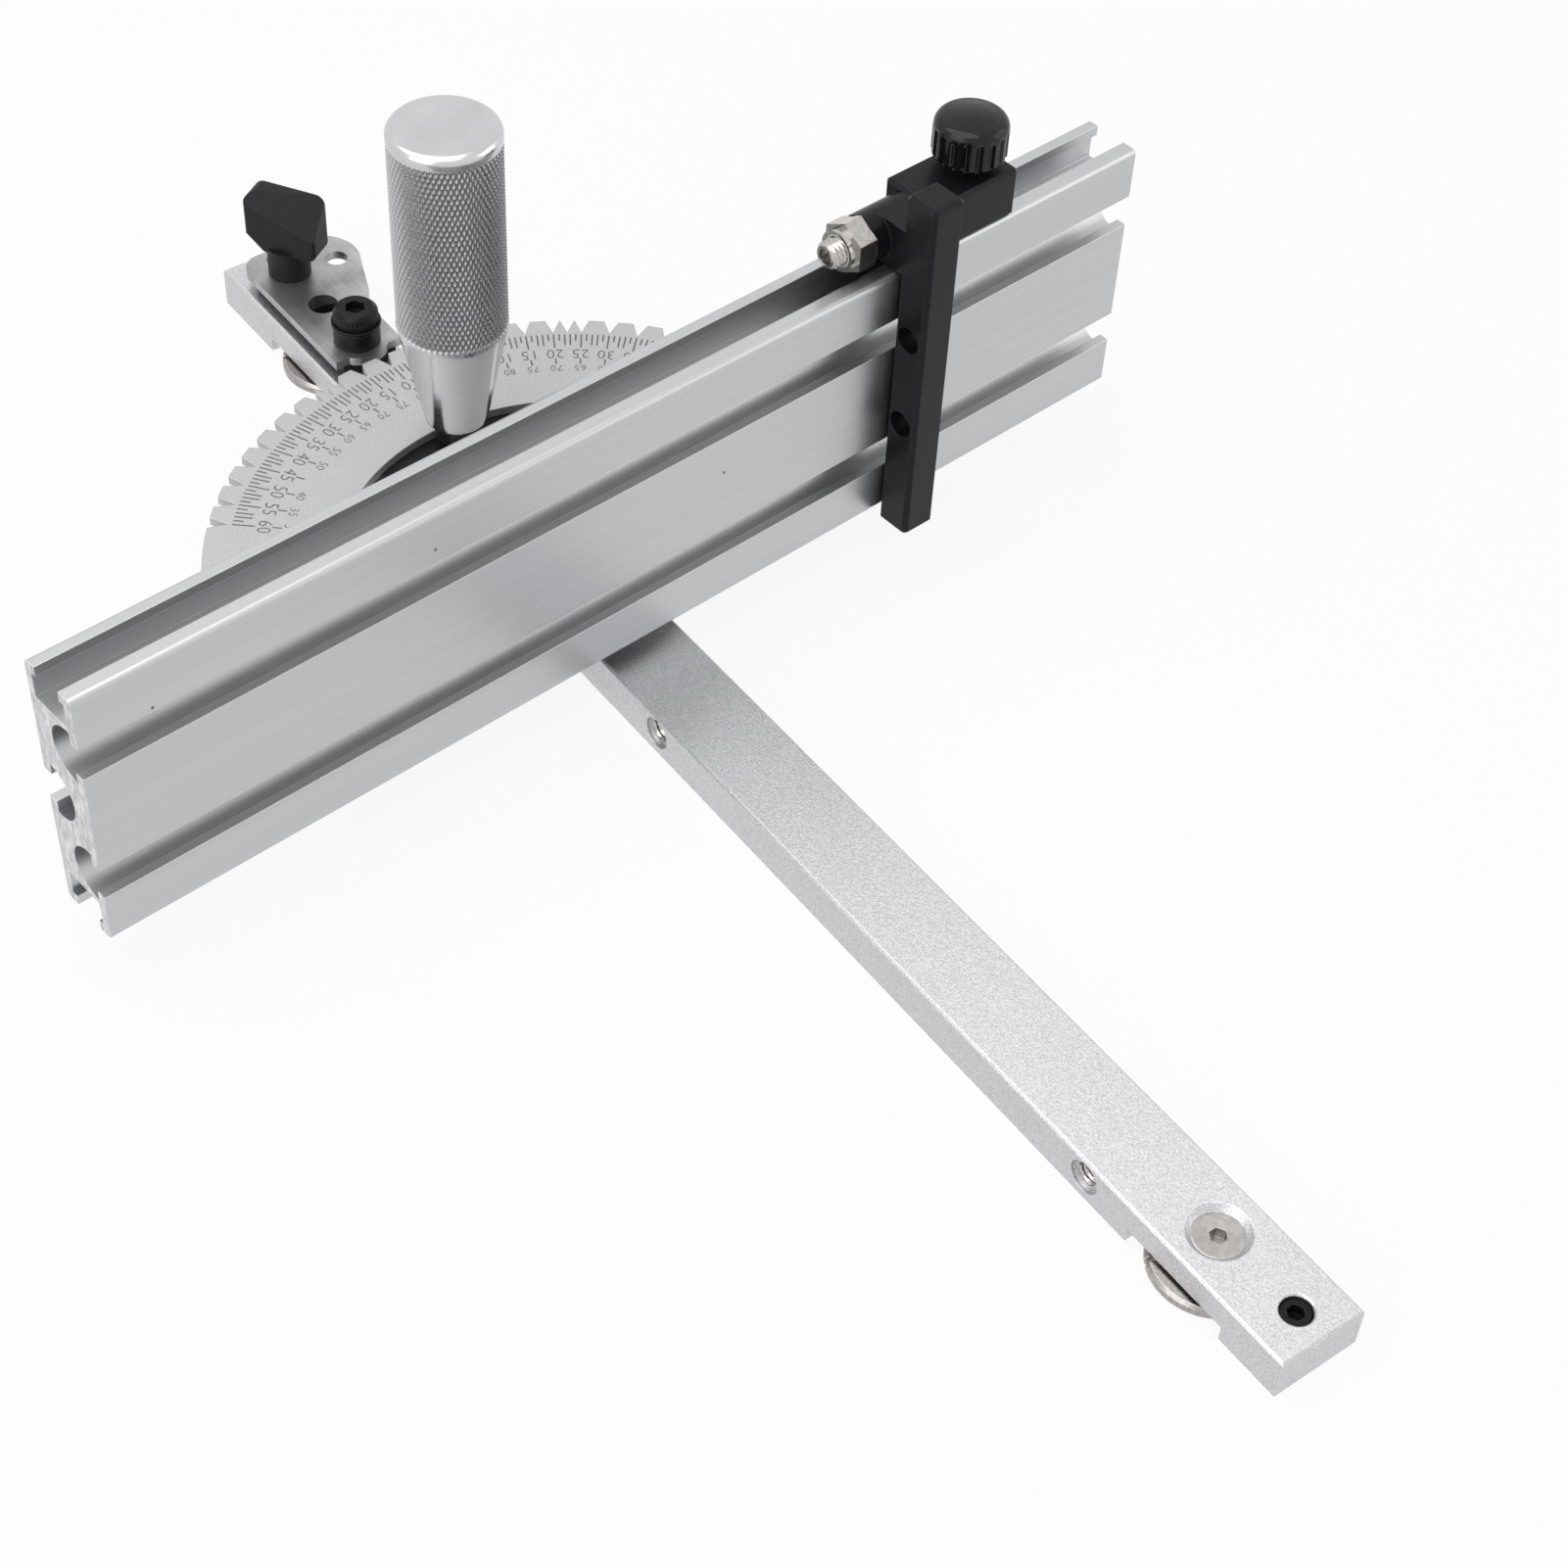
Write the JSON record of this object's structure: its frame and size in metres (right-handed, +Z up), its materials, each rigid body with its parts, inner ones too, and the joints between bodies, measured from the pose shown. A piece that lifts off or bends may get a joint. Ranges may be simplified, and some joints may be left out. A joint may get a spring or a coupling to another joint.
{
  "type": "miter gauge",
  "caption": "Saw-table miter gauge: slot bar, notched swivelling protractor head, T-slot fence with flip stop, knurled lock handle and index plate.",
  "frame": {"origin": "head pivot axis at the underside of the bar", "axes": "+X along the fence, +Y from the fence towards the user's end of the bar, +Z up"},
  "size_m": [0.2572, 0.3556, 0.0973],
  "materials": {
    "bar_steel": "bead-blasted",
    "plate_steel": "matte with grey engraving",
    "index_steel": "brushed",
    "stainless": "satin",
    "nickel_steel": "bright plated",
    "black_oxide": "black oxide",
    "anodised_aluminium": "satin anodised",
    "black_anodised": "black anodised",
    "knurled_aluminium": "diamond knurl, polished rim",
    "black_plastic": "matte black",
    "gloss_black_plastic": "gloss black",
    "nylon": "translucent white"
  },
  "bodies": {
    "bar": {"miter_bar": "bar_steel", "front_retaining_disc": "stainless", "rear_retaining_disc": "stainless", "front_disc_screw": "stainless", "rear_disc_screw": "stainless", "end_set_screw": "black_oxide", "pivot_bush": "stainless", "pivot_screw": "black_oxide", "clamp_pad": "black_plastic", "index_spacer": "black_plastic"},
    "head": {"protractor_plate": "plate_steel", "fence_bracket": "anodised_aluminium", "bracket_screws": "black_oxide", "fence_bolts": "nickel_steel", "fence_bolt_washers": "nickel_steel", "fence_bolt_nuts": "nickel_steel"},
    "handle": {"lock_handle": "knurled_aluminium", "handle_stud": "nickel_steel", "handle_washer": "black_plastic"},
    "index": {"index_plate": "index_steel", "index_pin": "black_oxide", "index_pin_screw": "black_oxide"},
    "wing": {"wing_knob": "black_plastic", "wing_stud": "nickel_steel"},
    "fence": {"fence_extrusion": "anodised_aluminium"},
    "stop": {"stop_block": "black_anodised", "stop_t_nut": "nickel_steel", "hinge_stud": "nickel_steel", "hinge_nut": "nickel_steel", "nut_insert": "nylon"},
    "arm": {"stop_arm": "black_anodised"},
    "clamp_knob": {"stop_knob": "gloss_black_plastic", "stop_knob_stud": "nickel_steel"}
  },
  "joints": [
    {"name": "head_swivel", "type": "hinge", "parent": "bar", "child": "head", "pos_m": [0, 0, 0], "axis": [0, 0, 1], "range_deg": [-50, 70]},
    {"name": "handle_turn", "type": "hinge", "parent": "bar", "child": "handle", "pos_m": [0.00391, 0.04463, 0], "axis": [0, 0, 1], "range_deg": [0, 360]},
    {"name": "index_slide", "type": "slide", "parent": "bar", "child": "index", "axis": [-0.0872, -0.9962, 0], "range_m": [0, 0.005]},
    {"name": "wing_turn", "type": "hinge", "parent": "bar", "child": "wing", "pos_m": [0.01007, 0.11506, 0], "axis": [0, 0, 1], "range_deg": [0, 180]},
    {"name": "fence_slide", "type": "slide", "parent": "head", "child": "fence", "axis": [1, 0, 0], "range_m": [-0.06, 0.06]},
    {"name": "stop_slide", "type": "slide", "parent": "fence", "child": "stop", "axis": [1, 0, 0], "range_m": [-0.185, 0.03]},
    {"name": "stop_flip", "type": "hinge", "parent": "stop", "child": "arm", "pos_m": [0.063, -0.0187, 0.07955], "axis": [-1, 0, 0], "range_deg": [0, 180]},
    {"name": "stop_knob_turn", "type": "hinge", "parent": "stop", "child": "clamp_knob", "pos_m": [0.0857, -0.01887, 0.09], "axis": [0, 0, 1], "range_deg": [0, 360]}
  ]
}
